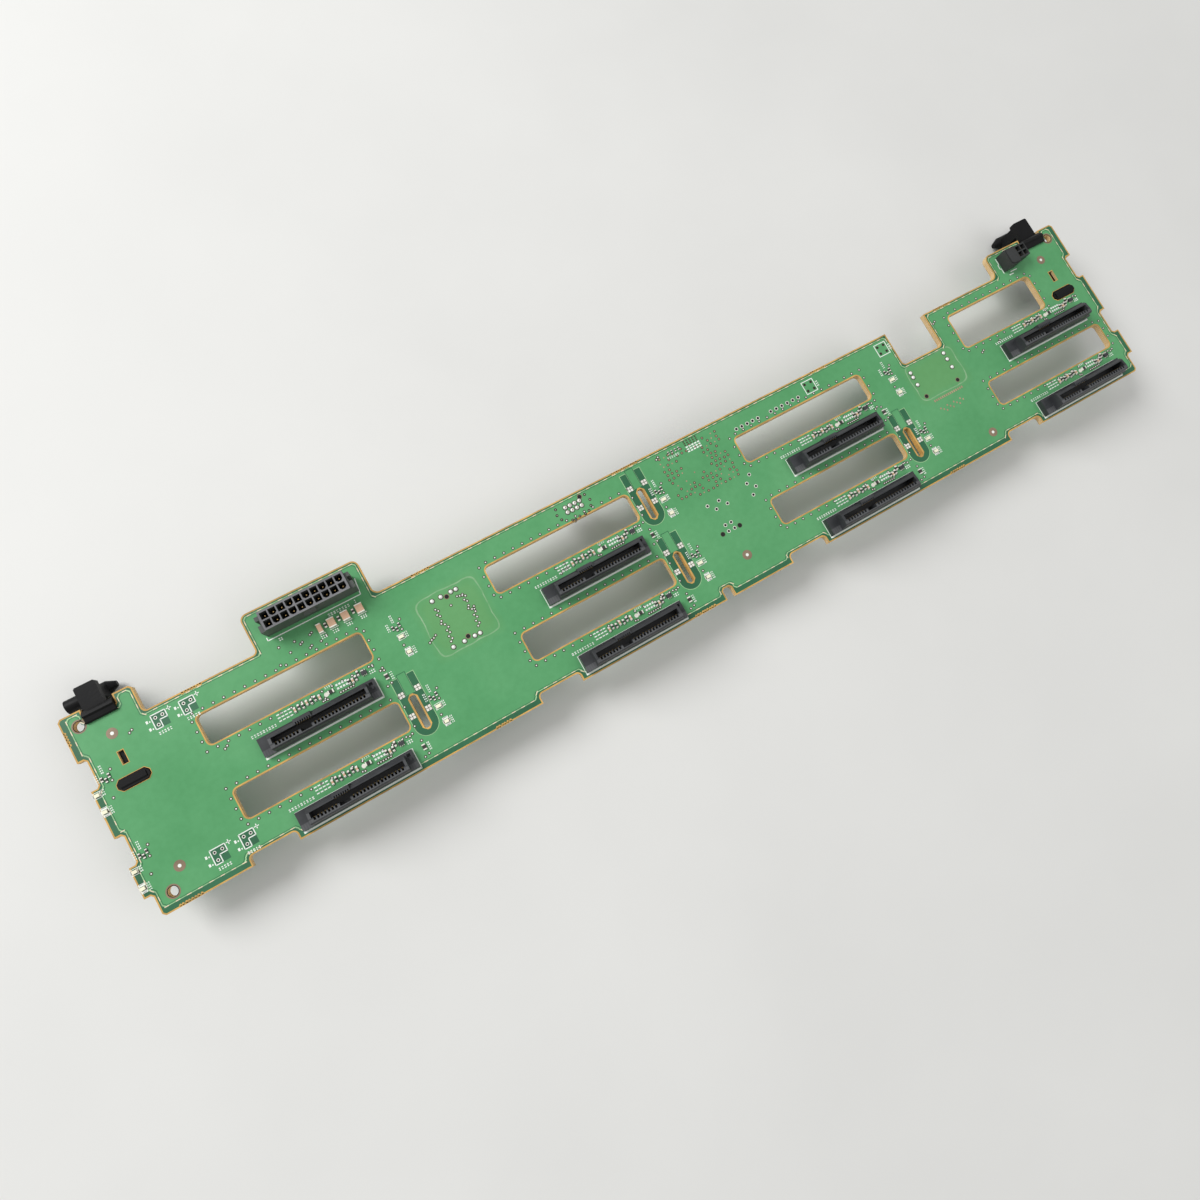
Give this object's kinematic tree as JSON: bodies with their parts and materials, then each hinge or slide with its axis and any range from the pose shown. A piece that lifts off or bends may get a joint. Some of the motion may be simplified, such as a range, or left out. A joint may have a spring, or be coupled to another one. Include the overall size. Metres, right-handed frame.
{
  "type": "drive backplane board",
  "caption": "Long server backplane board with rows of drive connectors, air slots, a power header on a tab and plastic latches at both ends.",
  "frame": {"origin": "centre of the board outline on its front face", "axes": "+Z out of the front (drive) face, +X along the board, +Y towards the power header's edge"},
  "size_m": [0.4352, 0.0818, 0.0264],
  "materials": {
    "board": "satin solder mask over copper",
    "receptacle": "moulded",
    "contact": "gold flash",
    "header": "moulded",
    "pin": "gold flash",
    "latch": "moulded",
    "shell": "tinned",
    "core": "moulded",
    "package": "moulded",
    "substrate": "laminate",
    "tan_ceramic": "fired",
    "lamp": "clear epoxy",
    "chip_body": "fired"
  },
  "bodies": {
    "root": {"aux_header": "header", "aux_pins": "pin", "board_latch_left": "latch", "board_latch_right": "latch", "cable_core_a": "core", "cable_core_b": "core", "cable_shell_a": "shell", "cable_shell_b": "shell", "chip_resistors": "chip_body", "circuit_board": "board", "controller_lid": "package", "controller_substrate": "substrate", "drive_contacts_1": "contact", "drive_contacts_2": "contact", "drive_contacts_3": "contact", "drive_contacts_4": "contact", "drive_contacts_5": "contact", "drive_contacts_6": "contact", "drive_contacts_7": "contact", "drive_contacts_8": "contact", "drive_receptacle_1": "receptacle", "drive_receptacle_2": "receptacle", "drive_receptacle_3": "receptacle", "drive_receptacle_4": "receptacle", "drive_receptacle_5": "receptacle", "drive_receptacle_6": "receptacle", "drive_receptacle_7": "receptacle", "drive_receptacle_8": "receptacle", "lamp_drivers": "package", "power_header": "header", "power_pins": "pin", "reservoir_capacitors": "tan_ceramic", "service_header": "core", "service_pins": "pin", "status_lamps": "lamp", "supply_resistors": "chip_body"}
  },
  "joints": []
}
